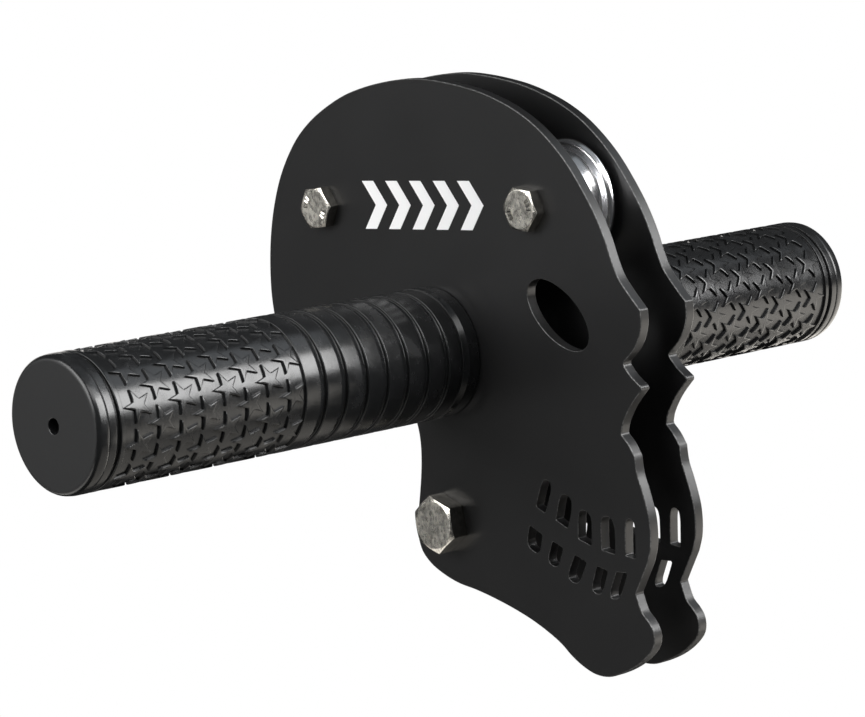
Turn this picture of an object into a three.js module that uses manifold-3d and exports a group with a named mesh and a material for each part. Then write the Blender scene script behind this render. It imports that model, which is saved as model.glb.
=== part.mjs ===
// Zip line trolley: two skull-shaped side plates that carry a pair of grooved sheaves on ball
// bearings, a handlebar with two rubber grips, and a hanger bolt with its spacer.
// Units are millimetres. +X is the way the skull faces and the line of travel, +Y runs along the
// handlebar to the left grip, +Z is up.
// The drawing is laid out round the handlebar's axis, and the whole trolley is then lowered so that
// the origin lies where the cable bears on the sheave grooves, midway between the two sheaves.
import * as THREE from "three";
import { mergeVertices } from "three/addons/utils/BufferGeometryUtils.js";
import Module from "manifold-3d";

const wasm = await Module();
wasm.setup();

// ---------------------------------------------------------------- driving dimensions
const PLATE_THICKNESS = 3;
const PLATE_GAP = 13.3;
const WHEELBASE = 76;
const SHEAVE_HEIGHT = 37.3; // axle above the handlebar's axis
const HANGER_DROP = 44.3; // hanger bolt below the handlebar's axis
const SEAM = 0.05; // space left between faces that rest on each other

const SHEAVE = { radius: 16, floor: 11.8, halfWidth: 4.9, crest: 0.3, throat: 3, throatRadius: 13.4 };
// Half of the sheave's rim, from the crest down to the groove: in from the radius, and y.
const SHEAVE_RIM = [[0.25, 4], [0.9, 3.35], [1.7, 3.1]];
const BEARING = { outer: 9.5, bore: 3.1, halfWidth: 3, pitch: 6.3, ball: 1.7, balls: 7 };
const TUBE = { radius: 11.1, wall: 2 };
const GRIP = {
  radius: 17,
  end: 133.4,
  firstRib: 20.6,
  ribPitch: 6.914,
  ribs: 8,
  crown: 3.1,
  ribDrop: 1.1,
  starDrop: 0.65,
};

const M6 = { radius: 3, acrossFlats: 10, head: 3.3, nut: 6, washer: 6, washerThickness: 1.6 };
const M8 = { radius: 4, acrossFlats: 13, head: 5.3, nut: 8, washer: 8, washerThickness: 1.6 };
const BOLT_LENGTH = 30;
const HOLE_CLEARANCE = 0.2; // on the radius of a bolt hole

const INNER_FACE = PLATE_GAP / 2;
const OUTER_FACE = INNER_FACE + PLATE_THICKNESS;
const CABLE_SEAT_HEIGHT = SHEAVE_HEIGHT - SHEAVE.floor;
const FINE = 32; // sides of a sheave or a hole for the handlebar
const MEDIUM = 24; // sides of a grip, a tube or a bearing race
const COARSE = 16; // sides of a bolt, its hole, its nut and its washer

// ---------------------------------------------------------------- materials
const paint = new THREE.MeshStandardMaterial({ color: 0x1d1d1e, roughness: 0.55, metalness: 0.3 });
const rubber = new THREE.MeshStandardMaterial({ color: 0x17181a, roughness: 0.5, metalness: 0 });
const stainless = new THREE.MeshStandardMaterial({ color: 0xb9b5ab, roughness: 0.35, metalness: 1 });
const polished = new THREE.MeshStandardMaterial({ color: 0xe2e2e4, roughness: 0.12, metalness: 1 });
const zinc = new THREE.MeshStandardMaterial({ color: 0xa9adb0, roughness: 0.4, metalness: 1 });
const nylon = new THREE.MeshStandardMaterial({ color: 0xdad9d2, roughness: 0.6, metalness: 0 });

// ---------------------------------------------------------------- helpers
const trolley = new THREE.Group();
trolley.position.z = -CABLE_SEAT_HEIGHT;

function add(name, geometry, material, x = 0, z = 0) {
  const mesh = new THREE.Mesh(geometry, material);
  mesh.name = name;
  mesh.position.set(x, 0, z);
  trolley.add(mesh);
}

// A profile of [radius, y] points turned round the Y axis.
function turned(profile, sides = MEDIUM) {
  return new THREE.LatheGeometry(profile.map(([r, y]) => new THREE.Vector2(r, y)), sides);
}

// A plain ring or tube with a square section.
function ring(inner, outer, yLow, yHigh, sides = MEDIUM) {
  return turned([[inner, yLow], [outer, yLow], [outer, yHigh], [inner, yHigh], [inner, yLow]], sides);
}

function cylinder(radius, yLow, yHigh, sides = MEDIUM) {
  return turned([[0, yLow], [radius, yLow], [radius, yHigh], [0, yHigh]], sides);
}

// A flat shape drawn in X and Z, given a thickness from yLow to yHigh.
const FLAT_TO_UPRIGHT = new THREE.Matrix4().set(1, 0, 0, 0, 0, 0, -1, 0, 0, 1, 0, 0, 0, 0, 0, 1);
function slab(shape, yLow, yHigh, curveSegments = 6) {
  const geometry = new THREE.ExtrudeGeometry(shape, {
    depth: yHigh - yLow,
    bevelEnabled: false,
    curveSegments,
  });
  return geometry.translate(0, 0, -yHigh).applyMatrix4(FLAT_TO_UPRIGHT);
}

function solid(geometry) {
  const bare = geometry.index ? geometry.toNonIndexed() : geometry.clone();
  bare.deleteAttribute("normal");
  bare.deleteAttribute("uv");
  const merged = mergeVertices(bare, 1e-4);
  return new wasm.Manifold(
    new wasm.Mesh({
      numProp: 3,
      vertProperties: merged.attributes.position.array,
      triVerts: new Uint32Array(merged.index.array),
    }),
  );
}

function geometryOf(manifold) {
  const mesh = manifold.getMesh();
  const geometry = new THREE.BufferGeometry();
  geometry.setAttribute("position", new THREE.BufferAttribute(mesh.vertProperties, 3));
  geometry.setIndex(new THREE.BufferAttribute(mesh.triVerts, 1));
  return geometry;
}

function roundHole(x, z, radius, sides) {
  return new THREE.Path(new THREE.EllipseCurve(x, z, radius, radius).getPoints(sides));
}

// ---------------------------------------------------------------- side plates
// The skull's outline, starting at the brow and running over the crown to the nape, under the jaw
// and up the face. A leg is a curve through its points, and legs meet in corners.
const OUTLINE_LEGS = [
  // brow, forehead, crown, back of the head, and the notch above the nape
  [[73.6, 12.8], [66.9, 20.8], [63.5, 29.8], [59.6, 38], [51.4, 49.7], [40.5, 59.2], [27, 65.5],
    [13, 68.9], [-1, 70.3], [-16.3, 68.9], [-30, 65.3], [-44, 57.7], [-53.4, 47], [-59, 34.5],
    [-61.7, 21], [-61.6, 8], [-57.5, -5], [-49.5, -13.2], [-38.5, -17], [-26, -17.2], [-16.5, -15.2],
    [-10.5, -16.4], [-8.3, -21.5], [-8.4, -29.5], [-10.3, -39.5], [-11.9, -47], [-9.6, -54.2],
    [-0.5, -59.5], [12, -62.4], [26, -66.9], [36.6, -72.1], [44.2, -77.7], [52.8, -80.1],
    [63.1, -76.6], [69.7, -71.2], [70, -66.3], [66.9, -62.5]],
  [[66.9, -62.5], [65.2, -57.9]], // hollow under the lower lip
  [[65.2, -57.9], [67.4, -54.2], [69.8, -50.2]],
  [[69.8, -50.2], [71.4, -45.5], [71.6, -39], [70, -32.2], [68.6, -27.8], [68.2, -23.5]], // lips
  [[68.2, -23.5], [66.4, -20.5], [64.2, -18.2]],
  [[64.2, -18.2], [65.2, -15.2], [68.3, -10.8], [72.7, -6.5]], // hollow under the nose
  [[72.7, -6.5], [69, -3.7], [66.4, -0.6]],
  [[66.4, -0.6], [71, 3.5], [73.4, 8.5], [73.6, 12.8]], // bridge of the nose
];

const EYE = { x: 45.5, z: 10.8, long: 11.9, short: 6.4, tilt: -0.66 };

// One tooth slot: the two ends of its biting edge and its crown, from the smile line outwards.
const UPPER_TEETH = [
  { left: [32.7, -38.1], right: [35.8, -39.7], crown: [37.6, -31.3] },
  { left: [39.4, -41.1], right: [43.4, -43.1], crown: [44, -34.7] },
  { left: [46.8, -45.4], right: [51.2, -46.9], crown: [49.9, -38.2] },
  { left: [54.7, -47.7], right: [59.2, -48.5], crown: [57.4, -39.1] },
  { left: [62.7, -48.5], right: [66, -49.1], crown: [65.1, -39.2] },
];
const LOWER_TEETH = [
  { left: [34.2, -45.3], right: [29.9, -43.2], crown: [30.5, -49.7] },
  { left: [41.2, -48.2], right: [37.7, -46.7], crown: [37, -52.9] },
  { left: [49.1, -51.2], right: [45.2, -49.6], crown: [43.7, -56.6] },
  { left: [56.2, -52.9], right: [52.6, -51.9], crown: [51.7, -58.9] },
  { left: [62.9, -52.9], right: [59.1, -52.9], crown: [57.7, -59.8] },
];

const TOOTH_STEPS = 4; // straight steps on each side of a tooth
function toothPath({ left, right, crown }) {
  const a = new THREE.Vector2(...left);
  const b = new THREE.Vector2(...right);
  const top = new THREE.Vector2(...crown);
  const rise = top.clone().sub(a.clone().add(b).multiplyScalar(0.5));
  const half = b.clone().sub(a).multiplyScalar(0.62);
  const aShoulder = a.clone().addScaledVector(rise, 0.7);
  const bShoulder = b.clone().addScaledVector(rise, 0.7);
  const path = new THREE.Path();
  path.moveTo(a.x, a.y);
  path.bezierCurveTo(aShoulder.x, aShoulder.y, top.x - half.x, top.y - half.y, top.x, top.y);
  path.bezierCurveTo(top.x + half.x, top.y + half.y, bShoulder.x, bShoulder.y, b.x, b.y);
  return new THREE.Path(path.getPoints(TOOTH_STEPS));
}

function skullShape() {
  const shape = new THREE.Shape();
  shape.moveTo(...OUTLINE_LEGS[0][0]);
  for (const leg of OUTLINE_LEGS) {
    const rest = leg.slice(1).map(([x, z]) => new THREE.Vector2(x, z));
    if (rest.length === 1) shape.lineTo(rest[0].x, rest[0].y);
    else shape.splineThru(rest);
  }
  const eye = new THREE.EllipseCurve(
    EYE.x, EYE.z, EYE.long, EYE.short, 0, 2 * Math.PI, true, EYE.tilt,
  );
  shape.holes.push(
    new THREE.Path(eye.getPoints(FINE)),
    ...UPPER_TEETH.map(toothPath),
    ...LOWER_TEETH.map(toothPath),
    roundHole(-WHEELBASE / 2, SHEAVE_HEIGHT, M6.radius + HOLE_CLEARANCE, COARSE),
    roundHole(WHEELBASE / 2, SHEAVE_HEIGHT, M6.radius + HOLE_CLEARANCE, COARSE),
    roundHole(0, -HANGER_DROP, M8.radius + HOLE_CLEARANCE, COARSE),
    roundHole(0, 0, TUBE.radius + HOLE_CLEARANCE, FINE),
  );
  return shape;
}

const CURVE_STEPS = 2; // straight steps for each point of an outline curve
add("right_side_plate", slab(skullShape(), -OUTER_FACE, -INNER_FACE, CURVE_STEPS), paint);
add("left_side_plate", slab(skullShape(), INNER_FACE, OUTER_FACE, CURVE_STEPS), paint);

// ---------------------------------------------------------------- handlebar and grips
const TUBE_HALF_LENGTH = 128;
const SLEEVE_WALL = 2.4;
add(
  "handlebar_tube",
  ring(TUBE.radius - TUBE.wall, TUBE.radius, -TUBE_HALF_LENGTH, TUBE_HALF_LENGTH),
  zinc,
);
add(
  "handlebar_spacer",
  ring(
    TUBE.radius + HOLE_CLEARANCE,
    TUBE.radius + HOLE_CLEARANCE + SLEEVE_WALL,
    -INNER_FACE + SEAM,
    INNER_FACE - SEAM,
  ),
  zinc,
);

// The grip's profile from the plate to its closed end, as [radius, distance from the middle]. From
// the plate outwards come a flange, saw-tooth ribs whose walls face the end, the sunk band that holds
// the star pads, a narrow band, a ring groove and the rounded end with its vent.
function gripProfile() {
  const { radius, end, ribPitch, firstRib, ribs, crown, ribDrop, starDrop } = GRIP;
  const bore = TUBE.radius + HOLE_CLEARANCE;
  const inner = OUTER_FACE + SEAM;
  const flangeEnd = 13.5;
  const flangeFoot = 16;
  const starEnd = 125.3;
  const groove = { from: 126.7, to: 127.8, depth: 0.9 };
  const endRim = [[0, 2.6], [0.35, 1.1], [0.9, 0.3], [1.5, 0]]; // in from the side, back from the end
  const vent = 1.9;
  const closedFrom = TUBE_HALF_LENGTH + 0.4;
  const points = [[bore, inner], [radius, inner], [radius, flangeEnd], [radius - ribDrop, flangeFoot]];
  for (let i = 0; i < ribs; i += 1) {
    const wall = firstRib + i * ribPitch;
    const foot = i < ribs - 1 ? ribDrop : starDrop;
    points.push([radius, wall - crown], [radius, wall], [radius - foot, wall]);
  }
  points.push(
    [radius - starDrop, starEnd],
    [radius, starEnd],
    [radius, groove.from],
    [radius - groove.depth, groove.from],
    [radius - groove.depth, groove.to],
    [radius, groove.to],
  );
  points.push(...endRim.map(([inset, back]) => [radius - inset, end - back]));
  points.push([vent, end], [vent, closedFrom], [bore, closedFrom], [bore, inner]);
  return points;
}

const leftGrip = gripProfile();
add("left_grip", turned(leftGrip, MEDIUM), rubber);
add("right_grip", turned(leftGrip.map(([r, y]) => [r, -y]).reverse(), MEDIUM), rubber);

// ---------------------------------------------------------------- fasteners
// A hexagonal prism along Y whose corners are cut back by a 30 degree cone at one or both ends.
function hexagon(acrossFlats, yLow, yHigh, turn, chamferLow, chamferHigh) {
  const prism = cylinder(acrossFlats / Math.sqrt(3), yLow, yHigh, 6).rotateY(turn);
  const face = acrossFlats * 0.475;
  const reach = acrossFlats * 0.62;
  const drop = (reach - face) * Math.tan(Math.PI / 6);
  const cone = [
    [0, yLow],
    [chamferLow ? face : reach, yLow],
    [reach, yLow + (chamferLow ? drop : 0)],
    [reach, yHigh - (chamferHigh ? drop : 0)],
    [chamferHigh ? face : reach, yHigh],
    [0, yHigh],
  ];
  return solid(prism).intersect(solid(turned(cone.filter(differsFromLast))));
}

function differsFromLast(point, i, all) {
  return i === 0 || point[0] !== all[i - 1][0] || point[1] !== all[i - 1][1];
}

// A hexagon-head bolt with its head on the right side plate and its tip past the nut.
function bolt(size, turn) {
  const under = -OUTER_FACE - SEAM;
  const tip = 0.8;
  const shank = turned(
    [
      [0, under - 1],
      [size.radius, under - 1],
      [size.radius, under + BOLT_LENGTH - tip],
      [size.radius - tip, under + BOLT_LENGTH],
      [0, under + BOLT_LENGTH],
    ],
    COARSE,
  );
  const head = hexagon(size.acrossFlats, under - size.head, under, turn, true, false);
  return geometryOf(head.add(solid(shank)));
}

const WASHER_FACE = OUTER_FACE + SEAM;
function washer(size) {
  const inner = size.radius + HOLE_CLEARANCE;
  return ring(inner, size.washer, WASHER_FACE, WASHER_FACE + size.washerThickness, COARSE);
}

// A lock nut: a hexagon with a round collar, which a nylon ring fills.
const NUT_HEX_SHARE = 0.68;
const NUT_THREAD_CLEARANCE = 0.06;
function lockNut(size, turn) {
  const low = WASHER_FACE + size.washerThickness + SEAM;
  const high = low + size.nut;
  const hexHigh = low + size.nut * NUT_HEX_SHARE;
  const collar = cylinder(size.acrossFlats * 0.46, hexHigh - 1, high, COARSE);
  const bore = cylinder(size.radius + NUT_THREAD_CLEARANCE, low - 1, high + 1, COARSE);
  const pocket = cylinder(size.acrossFlats * 0.4, hexHigh, high - 0.5, COARSE);
  const mouth = cylinder(size.acrossFlats * 0.37, high - 0.6, high + 1, COARSE);
  const body = hexagon(size.acrossFlats, low, hexHigh, turn, true, true).add(solid(collar));
  return geometryOf(body.subtract(solid(bore)).subtract(solid(pocket)).subtract(solid(mouth)));
}

function nutInsert(size) {
  const low = WASHER_FACE + size.washerThickness + SEAM;
  return ring(
    size.radius + NUT_THREAD_CLEARANCE,
    size.acrossFlats * 0.4 - SEAM,
    low + size.nut * NUT_HEX_SHARE + SEAM,
    low + size.nut - 0.5 - SEAM,
    COARSE,
  );
}

const DEGREE = Math.PI / 180;
function addFastener(name, size, x, z, headTurn, nutTurn) {
  add(`${name}_bolt`, bolt(size, headTurn * DEGREE), stainless, x, z);
  add(`${name}_washer`, washer(size), stainless, x, z);
  add(`${name}_nut`, lockNut(size, nutTurn * DEGREE), stainless, x, z);
  add(`${name}_nut_insert`, nutInsert(size), nylon, x, z);
}

addFastener("hanger", M8, 0, -HANGER_DROP, 53, 12);
add(
  "hanger_spacer",
  ring(M8.radius + HOLE_CLEARANCE, 7, -INNER_FACE + SEAM, INNER_FACE - SEAM),
  zinc,
  0,
  -HANGER_DROP,
);

// ---------------------------------------------------------------- sheaves on ball bearings
function sheaveGeometry() {
  const { radius, floor, halfWidth, crest, throat, throatRadius } = SHEAVE;
  const bore = BEARING.outer + SEAM;
  const seat = BEARING.halfWidth + SEAM;
  const arcRadius = (throat ** 2 + (throatRadius - floor) ** 2) / (2 * (throatRadius - floor));
  const arcSpan = Math.asin(throat / arcRadius);
  const groove = [];
  for (const share of [-1, -0.5, 0, 0.5, 1]) {
    const angle = arcSpan * share;
    groove.push([floor + arcRadius * (1 - Math.cos(angle)), arcRadius * Math.sin(angle)]);
  }
  const profile = [
    [bore, -seat],
    [bore + 0.7, -halfWidth],
    [radius - 0.3, -halfWidth],
    [radius, -halfWidth + crest],
    ...SHEAVE_RIM.map(([inset, y]) => [radius - inset, -y]),
    ...groove,
    ...SHEAVE_RIM.map(([inset, y]) => [radius - inset, y]).reverse(),
    [radius, halfWidth - crest],
    [radius - 0.3, halfWidth],
    [bore + 0.7, halfWidth],
    [bore, seat],
    [bore, -seat],
  ];
  return turned(profile, FINE);
}

// Points of a ball track, as the arc that stands clear of the balls by TRACK_CLEARANCE.
const TRACK_CLEARANCE = 0.14;
const SEAL = { low: 2.4, high: 2.8 };
const SEAL_STEP = 2.3;
const OUTER_LAND = 7.5;
const INNER_LAND = 5.1;
function track(land, side) {
  const reach = BEARING.ball + TRACK_CLEARANCE;
  const edge = Math.acos(Math.abs(land - BEARING.pitch) / reach);
  return [-edge, -edge / 2, 0, edge / 2, edge].map((angle) => [
    BEARING.pitch + side * reach * Math.cos(angle),
    reach * Math.sin(angle),
  ]);
}

function outerRace() {
  const { outer, halfWidth } = BEARING;
  const sealSeat = 8;
  return turned([
    [outer, -halfWidth],
    [outer, halfWidth],
    [sealSeat, halfWidth],
    [sealSeat, SEAL_STEP],
    [OUTER_LAND, SEAL_STEP],
    ...track(OUTER_LAND, 1).reverse(),
    [OUTER_LAND, -SEAL_STEP],
    [sealSeat, -SEAL_STEP],
    [sealSeat, -halfWidth],
    [outer, -halfWidth],
  ]);
}

function innerRace() {
  const { bore, halfWidth } = BEARING;
  const shoulder = 4.9;
  return turned([
    [bore, -halfWidth],
    [shoulder, -halfWidth],
    [shoulder, -SEAL_STEP],
    [INNER_LAND, -SEAL_STEP],
    ...track(INNER_LAND, -1),
    [INNER_LAND, SEAL_STEP],
    [shoulder, SEAL_STEP],
    [shoulder, halfWidth],
    [bore, halfWidth],
    [bore, -halfWidth],
  ]);
}

// A crown cage: a thin ring beside the balls, with a finger between each pair.
function ballCage() {
  const low = BEARING.ball + 0.12;
  const high = SEAL.low - 0.12;
  let cage = solid(ring(5.7, 6.9, low, high, COARSE));
  for (let i = 0; i < BEARING.balls; i += 1) {
    const angle = ((i + 0.5) * 2 * Math.PI) / BEARING.balls;
    const finger = new THREE.BoxGeometry(0.9, high + 0.8, 0.9)
      .translate(0, (high - 0.8) / 2 - 0.05, BEARING.pitch)
      .rotateY(angle);
    cage = cage.add(solid(finger));
  }
  return geometryOf(cage);
}

function addWheel(name, x, headTurn, nutTurn) {
  const z = SHEAVE_HEIGHT;
  const bushBore = M6.radius + HOLE_CLEARANCE;
  const bushOuter = 4.6;
  const bearingEdge = BEARING.halfWidth + SEAM;
  const plateEdge = INNER_FACE - SEAM;
  const sealInner = INNER_LAND + 0.1;
  const sealOuter = 7.95;
  add(`${name}_sheave`, sheaveGeometry(), polished, x, z);
  add(`${name}_bearing_outer_race`, outerRace(), stainless, x, z);
  add(`${name}_bearing_inner_race`, innerRace(), stainless, x, z);
  add(`${name}_bearing_right_seal`, ring(sealInner, sealOuter, -SEAL.high, -SEAL.low), rubber, x, z);
  add(`${name}_bearing_left_seal`, ring(sealInner, sealOuter, SEAL.low, SEAL.high), rubber, x, z);
  add(`${name}_bearing_cage`, ballCage(), nylon, x, z);
  for (let i = 0; i < BEARING.balls; i += 1) {
    const angle = (i * 2 * Math.PI) / BEARING.balls;
    add(
      `${name}_bearing_ball_${i + 1}`,
      new THREE.IcosahedronGeometry(BEARING.ball, 1),
      polished,
      x + BEARING.pitch * Math.sin(angle),
      z + BEARING.pitch * Math.cos(angle),
    );
  }
  add(`${name}_axle_right_bush`, ring(bushBore, bushOuter, -plateEdge, -bearingEdge, COARSE), zinc, x, z);
  add(`${name}_axle_left_bush`, ring(bushBore, bushOuter, bearingEdge, plateEdge, COARSE), zinc, x, z);
  addFastener(`${name}_axle`, M6, x, z, headTurn, nutTurn);
}

addWheel("front", WHEELBASE / 2, -20, 25);
addWheel("rear", -WHEELBASE / 2, -34, 5);

export default trolley;
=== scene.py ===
"""The finished look of a zip line trolley, built as an add-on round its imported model.

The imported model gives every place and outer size. Each operator below makes one kind of piece, in
metres, in the model's own frame: +X is the way the skull faces, +Y runs along the handlebar to the
left grip and +Z is up. Right means the -Y side.
"""

import math

import bmesh
import bpy
from bpy.props import FloatProperty, FloatVectorProperty, IntProperty, PointerProperty
from mathutils import Matrix, Vector


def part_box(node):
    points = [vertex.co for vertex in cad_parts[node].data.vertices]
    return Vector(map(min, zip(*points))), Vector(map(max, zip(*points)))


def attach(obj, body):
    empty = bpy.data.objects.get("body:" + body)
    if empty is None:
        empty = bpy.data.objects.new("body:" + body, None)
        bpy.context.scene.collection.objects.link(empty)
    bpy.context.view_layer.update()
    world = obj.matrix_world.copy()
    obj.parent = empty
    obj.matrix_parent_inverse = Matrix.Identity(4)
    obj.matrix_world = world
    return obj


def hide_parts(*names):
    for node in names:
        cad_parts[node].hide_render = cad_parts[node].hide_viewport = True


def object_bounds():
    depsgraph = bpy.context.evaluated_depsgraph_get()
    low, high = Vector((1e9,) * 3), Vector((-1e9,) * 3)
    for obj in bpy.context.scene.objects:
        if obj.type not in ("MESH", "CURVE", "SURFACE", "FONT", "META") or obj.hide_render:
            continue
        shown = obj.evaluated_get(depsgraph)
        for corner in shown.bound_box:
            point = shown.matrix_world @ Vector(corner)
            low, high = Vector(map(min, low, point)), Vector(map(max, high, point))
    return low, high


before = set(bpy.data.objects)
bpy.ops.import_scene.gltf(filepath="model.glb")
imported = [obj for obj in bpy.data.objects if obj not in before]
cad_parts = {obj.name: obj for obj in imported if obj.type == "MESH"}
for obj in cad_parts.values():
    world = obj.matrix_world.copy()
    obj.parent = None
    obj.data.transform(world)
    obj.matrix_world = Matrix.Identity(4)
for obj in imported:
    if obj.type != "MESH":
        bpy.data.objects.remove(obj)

bl_info = {
    "name": "Zip Line Trolley Finish",
    "version": (1, 0, 0),
    "blender": (4, 5, 0),
    "location": "3D View > Sidebar > Trolley",
    "description": "Builds the finished pieces of a zip line trolley round its packed model",
    "category": "Object",
}

CAD_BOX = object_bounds()
MM = 0.001
WHEELS = ("front", "rear")
SIDES = {"right": -1, "left": 1}


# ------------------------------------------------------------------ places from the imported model
def centre(node):
    low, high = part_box(node)
    return (low + high) / 2


def axis_of(node):
    """The point at y = 0 on the axis, along Y, of a round piece."""
    middle = centre(node)
    return Vector((middle.x, 0, middle.z))


def span(node):
    """Where a piece starts and ends along Y."""
    low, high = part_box(node)
    return low.y, high.y


def radius_of(node):
    low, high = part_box(node)
    return (high.z - low.z) / 2


def corner_angle(node):
    """The angle of one corner of a hexagon, from its axis, turning from +X towards +Z."""
    axis = axis_of(node)
    arms = [v.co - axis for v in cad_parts[node].data.vertices]
    farthest = max(arms, key=lambda arm: math.hypot(arm.x, arm.z))
    return math.atan2(farthest.z, farthest.x)


# ------------------------------------------------------------------ settings
def length(name, description, millimetres):
    return FloatProperty(
        name=name, description=description, default=millimetres * MM, unit="LENGTH", precision=5
    )


def angle(name, description, degrees):
    return FloatProperty(
        name=name, description=description, default=math.radians(degrees), subtype="ANGLE"
    )


def share(name, description, value):
    return FloatProperty(name=name, description=description, default=value, min=0, subtype="FACTOR")


def watts(name, description, value):
    return FloatProperty(name=name, description=description, default=value, min=0, unit="POWER")


def colour(name, description, red, green, blue):
    return FloatVectorProperty(
        name=name, description=description, default=(red, green, blue), min=0, max=1, size=3,
        subtype="COLOR",
    )


class PlateSettings(bpy.types.PropertyGroup):
    edge: length("Edge rounding", "Radius that the coat gives to a plate's cut edges", 0.3)
    corner: length("Corner rounding", "Radius of the corners of the outline, seen face on", 0.9)
    hole_edge: length("Hole edge rounding", "Radius that the coat gives to a cut-out's edges", 0.18)
    hole_corner: length("Hole corner rounding", "Radius of the corners of the cut-outs", 0.4)
    chevrons: IntProperty(name="Chevrons", description="Printed chevrons in the row", default=5)
    chevron_height: length("Chevron height", "Height of a printed chevron", 12.5)
    chevron_stroke: length("Chevron stroke", "Width of a chevron's stroke along the row", 4.3)
    chevron_reach: length("Chevron reach", "How far a chevron's point leads its ends", 4.6)
    chevron_pitch: length("Chevron pitch", "Distance from one chevron to the next", 8.9)
    print_height: length("Print height", "Height of the row above the sheave axles", 0.6)
    print_thickness: length("Ink thickness", "How far the ink stands off the coat", 0.05)


class GripSettings(bpy.types.PropertyGroup):
    flange: length("Flange width", "Plain flange against the plate", 3.85)
    flange_slope: length("Flange slope", "Width of the cone behind the flange", 2.5)
    first_wall: length("First rib wall", "From the plate to the first rib's wall", 10.9)
    rib_pitch: length("Rib pitch", "Distance from one rib to the next", 6.914)
    rib_crown: length("Rib crown", "Width of the level top of a rib", 4.8)
    rib_drop: length("Rib height", "How far a rib's wall falls", 1.1)
    ribs: IntProperty(name="Ribs", description="Ribs between the flange and the stars", default=8)
    star_drop: length("Star height", "How far a star pad stands above the band", 0.65)
    star_band: length("Star band end", "From the closed end back to the end of the star band", 8.1)
    groove: length("Ring groove", "From the closed end back to the middle of the groove", 6.15)
    groove_width: length("Groove width", "Width of the ring groove", 1.1)
    groove_depth: length("Groove depth", "Depth of the ring groove", 0.9)
    end_slope: length("End slope", "From the closed end back to where the side starts to close in", 2.4)
    end_inset: length("End inset", "How far the side has closed in at the end face", 0.35)
    end_rounding: length("End rounding", "Radius between the side and the end face", 1.5)
    vent: length("Vent", "Radius of the vent in the end face", 1.9)
    star: length("Star size", "From a star's middle to its tips", 4.4)
    star_pitch: length("Star pitch", "Distance between the stars of a row", 13.63)
    stars: IntProperty(name="Stars", description="Stars in a row along the grip", default=4)
    star_rows: IntProperty(name="Star rows", description="Rows of stars round the grip", default=22)
    star_margin: length("Star margin", "From the closed end back to the last star's middle", 12.9)
    right_turn: angle("Right turn", "Turn of the right grip's first row from +X towards +Z", 13)
    left_turn: angle("Left turn", "Turn of the left grip's first row from +X towards +Z", 24)


class FastenerSettings(bpy.types.PropertyGroup):
    axle_bolt: length("Axle bolt", "Radius of an axle bolt's shank", 3)
    axle_flats: length("Axle flats", "Across the flats of an axle bolt's head", 10.4)
    axle_pitch: length("Axle thread", "Pitch of an axle bolt's thread", 1)
    hanger_bolt: length("Hanger bolt", "Radius of the hanger bolt's shank", 4)
    hanger_flats: length("Hanger flats", "Across the flats of the hanger bolt's head", 13.4)
    hanger_pitch: length("Hanger thread", "Pitch of the hanger bolt's thread", 1.25)
    clearance: length("Clearance", "Space round a shank in a washer or a spacer", 0.2)
    thread: length("Threaded length", "Length of a bolt's thread", 16)


class WheelSettings(bpy.types.PropertyGroup):
    groove_floor: length("Groove floor", "Radius of the sheave where the cable bears", 11.8)
    groove_half: length("Groove half width", "Half the width of the round floor of the groove", 3)
    groove_throat: length("Groove throat", "Radius where the round floor meets the flanks", 13.4)
    rim: length("Rim rounding", "Radius from a sheave's crest down into its groove", 1.5)
    recess: length("Face recess", "Depth of the turned recess in a sheave's faces", 0.5)
    ball: length("Ball", "Radius of a bearing ball", 1.7)
    ball_pitch: length("Ball circle", "Radius of the circle of ball middles", 6.3)
    seal_low: length("Seal inner face", "Distance of a seal's inner face from the middle", 2.4)
    seal_bore: length("Seal bore", "Radius of a seal's bore", 5.2)
    outer_land: length("Outer land", "Radius of the outer race beside its ball track", 7.5)
    outer_seat: length("Outer seat", "Radius of the outer race where a seal sits", 8)
    inner_land: length("Inner land", "Radius of the inner race beside its ball track", 5.1)
    inner_seat: length("Inner seat", "Radius of the inner race beside a seal", 4.9)
    race_bore: length("Race bore", "Radius of the inner race's bore", 3.1)


class FinishSettings(bpy.types.PropertyGroup):
    coat: colour("Powder coat", "Matt black coat of the side plates", 0.0075, 0.0075, 0.0078)
    # Colour of the coat's edges: partly real wear and partly a painted highlight on the rounded edges.
    worn_coat_and_edge_highlight: colour("Worn coat", "The coat where it is thin, round the edges", 0.14, 0.14, 0.137)
    rubber: colour("Grip rubber", "Rubber of the grips", 0.0095, 0.0098, 0.0102)
    stainless: colour("Stainless steel", "Bolts, nuts and washers", 0.60, 0.575, 0.52)
    chrome: colour("Polished steel", "Sheaves and balls", 0.86, 0.86, 0.87)
    zinc: colour("Zinc plating", "Tube, spacers and bushes", 0.52, 0.54, 0.56)
    nylon: colour("Nylon", "Lock nut rings and ball cages", 0.72, 0.71, 0.66)
    ink: colour("Ink", "Printed chevrons", 0.9, 0.9, 0.9)


class StageSettings(bpy.types.PropertyGroup):
    side: watts("Side softbox", "Power of the softbox beside the skull's face", 20)
    key: watts("Key softbox", "Power of the softbox that faces the right plate", 14.5)
    fill: watts("Fill panel", "Power of the broad panel behind the right plate's edge", 0.7)
    table: watts("Table", "Power of the warm light from the table in front", 9.7)
    near_table: watts("Near table", "Power of the light from the table beside the right plate", 3)
    bottom: watts("Bottom light", "Power of the light from straight below", 3)
    rear: watts("Rear light", "Power of the light behind the skull", 2)
    front: watts("Front light", "Power of the light high up in front of the skull", 8)
    high: watts("High light", "Power of the light above the side softbox", 1.3)
    top: watts("Top light", "Power of the cool light overhead", 0.8)
    surround: share("Surround", "Brightness of the dim studio round the lights", 0.04)


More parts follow.
